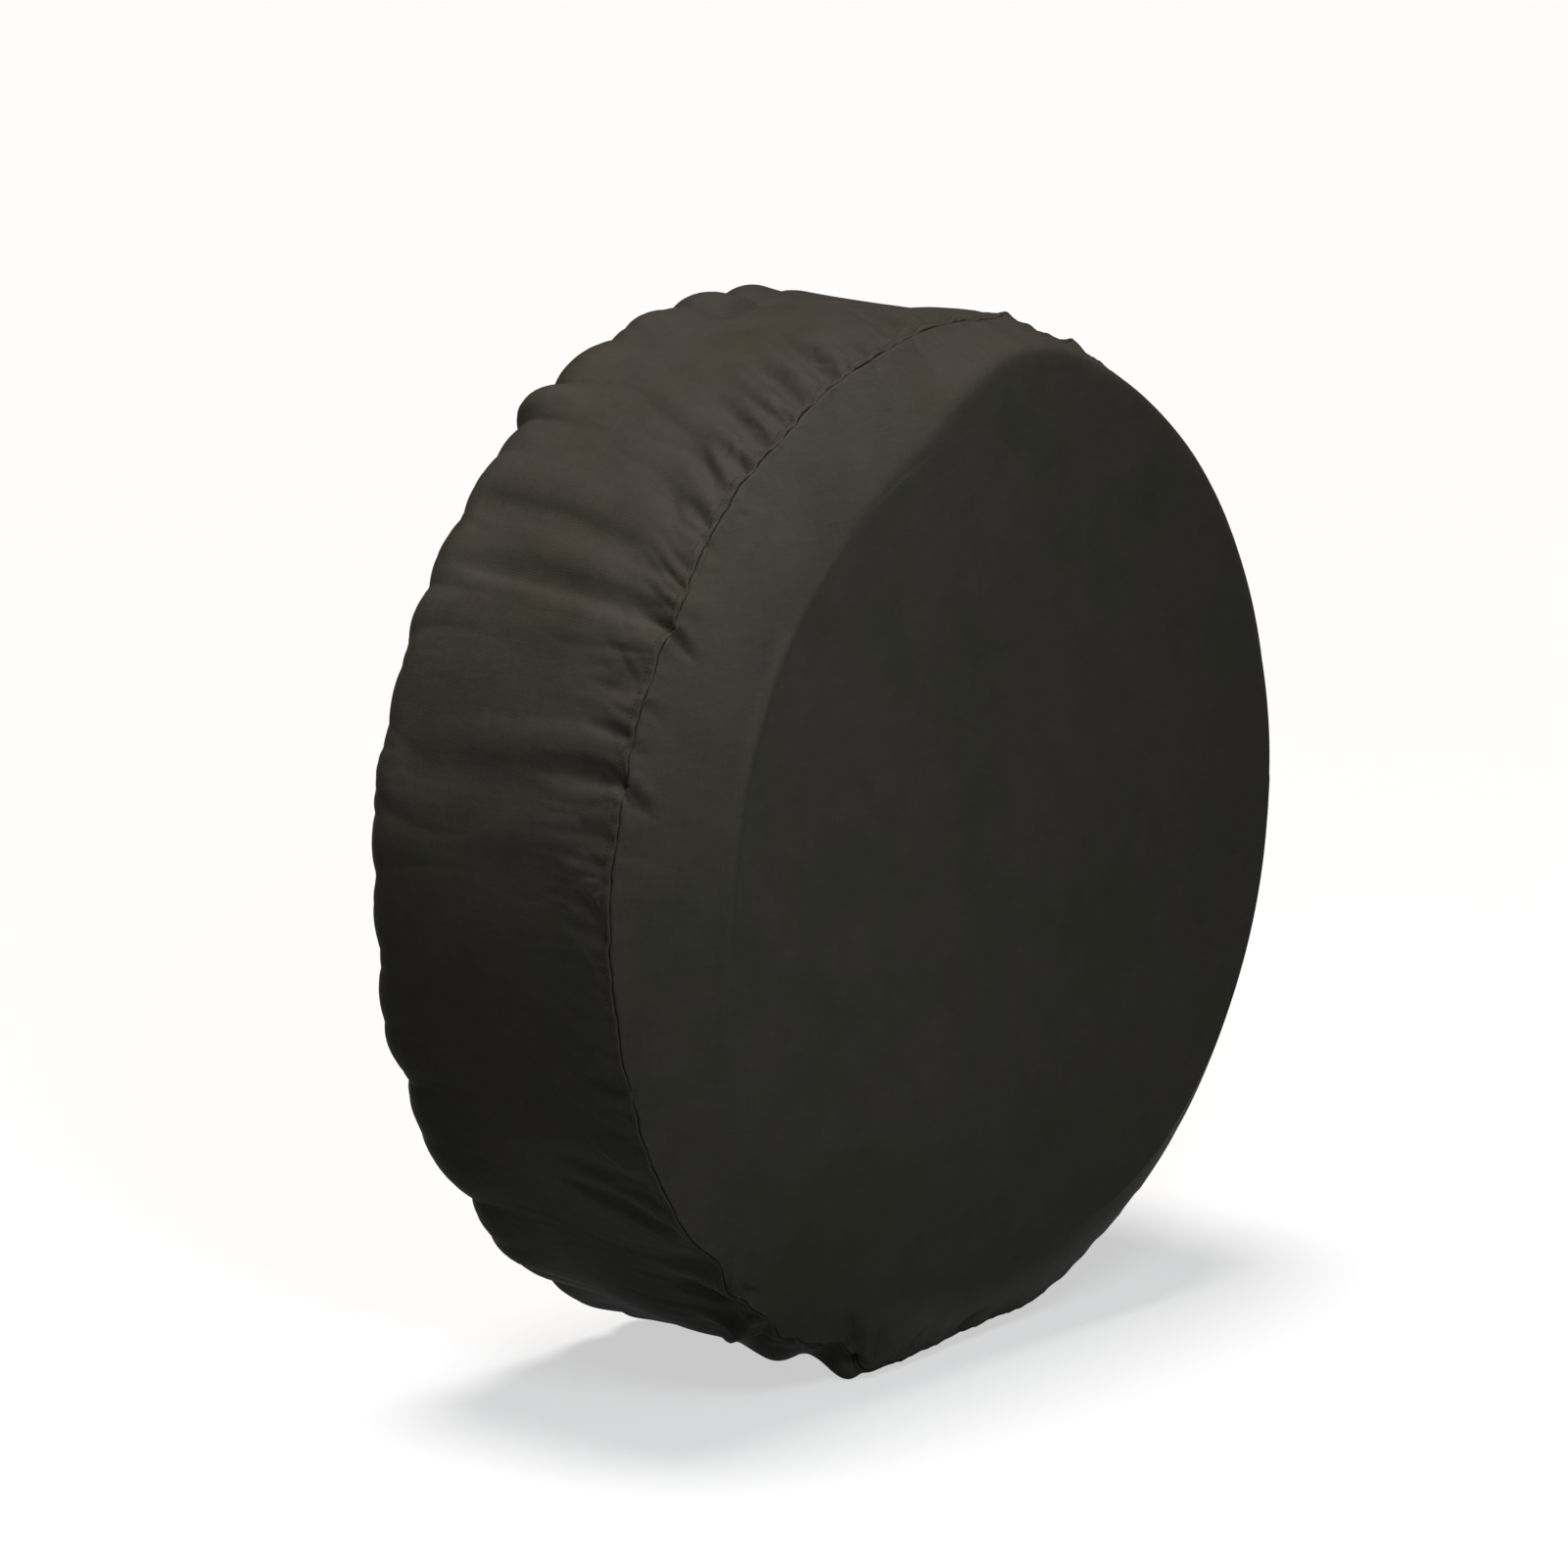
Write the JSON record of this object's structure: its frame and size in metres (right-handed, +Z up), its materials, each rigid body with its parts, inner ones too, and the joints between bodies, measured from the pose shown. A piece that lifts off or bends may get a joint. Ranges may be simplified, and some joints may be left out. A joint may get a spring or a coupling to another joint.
{
  "type": "spare tire cover",
  "caption": "Soft fabric spare tire cover: a round flat face and a side band sewn together, with an elastic hem round the open rear.",
  "frame": {"origin": "centre of the tyre the cover holds: on the wheel axis, halfway between the front face and the rear hem", "axes": "Y along the wheel axis, -Y out of the flat face, +Y out of the open rear, +Z up, and the band's lap joint at the bottom"},
  "size_m": [0.8127, 0.3048, 0.8128],
  "materials": {
    "cover_cloth": "coated woven polyester, warm charcoal, matte with a slight sheen",
    "casing_tape": "folded woven tape, black, matte",
    "elastic": "flat woven elastic, black, matte",
    "sewing_thread": "spun polyester thread, black"
  },
  "bodies": {
    "root": {"face_panel": "cover_cloth", "side_band": "cover_cloth", "hem_casing": "casing_tape", "hem_elastic": "elastic", "elastic_join_thread": "sewing_thread", "face_seam_needle_thread": "sewing_thread", "face_seam_bobbin_thread": "sewing_thread", "face_seam_overlock": "sewing_thread", "topstitch_needle_thread": "sewing_thread", "topstitch_bobbin_thread": "sewing_thread", "band_join_needle_threads": "sewing_thread", "band_join_bobbin_threads": "sewing_thread", "bar_tacks": "sewing_thread", "hem_outer_row_needle_thread": "sewing_thread", "hem_outer_row_bobbin_thread": "sewing_thread", "hem_inner_row_needle_thread": "sewing_thread", "hem_inner_row_bobbin_thread": "sewing_thread"}
  },
  "joints": []
}
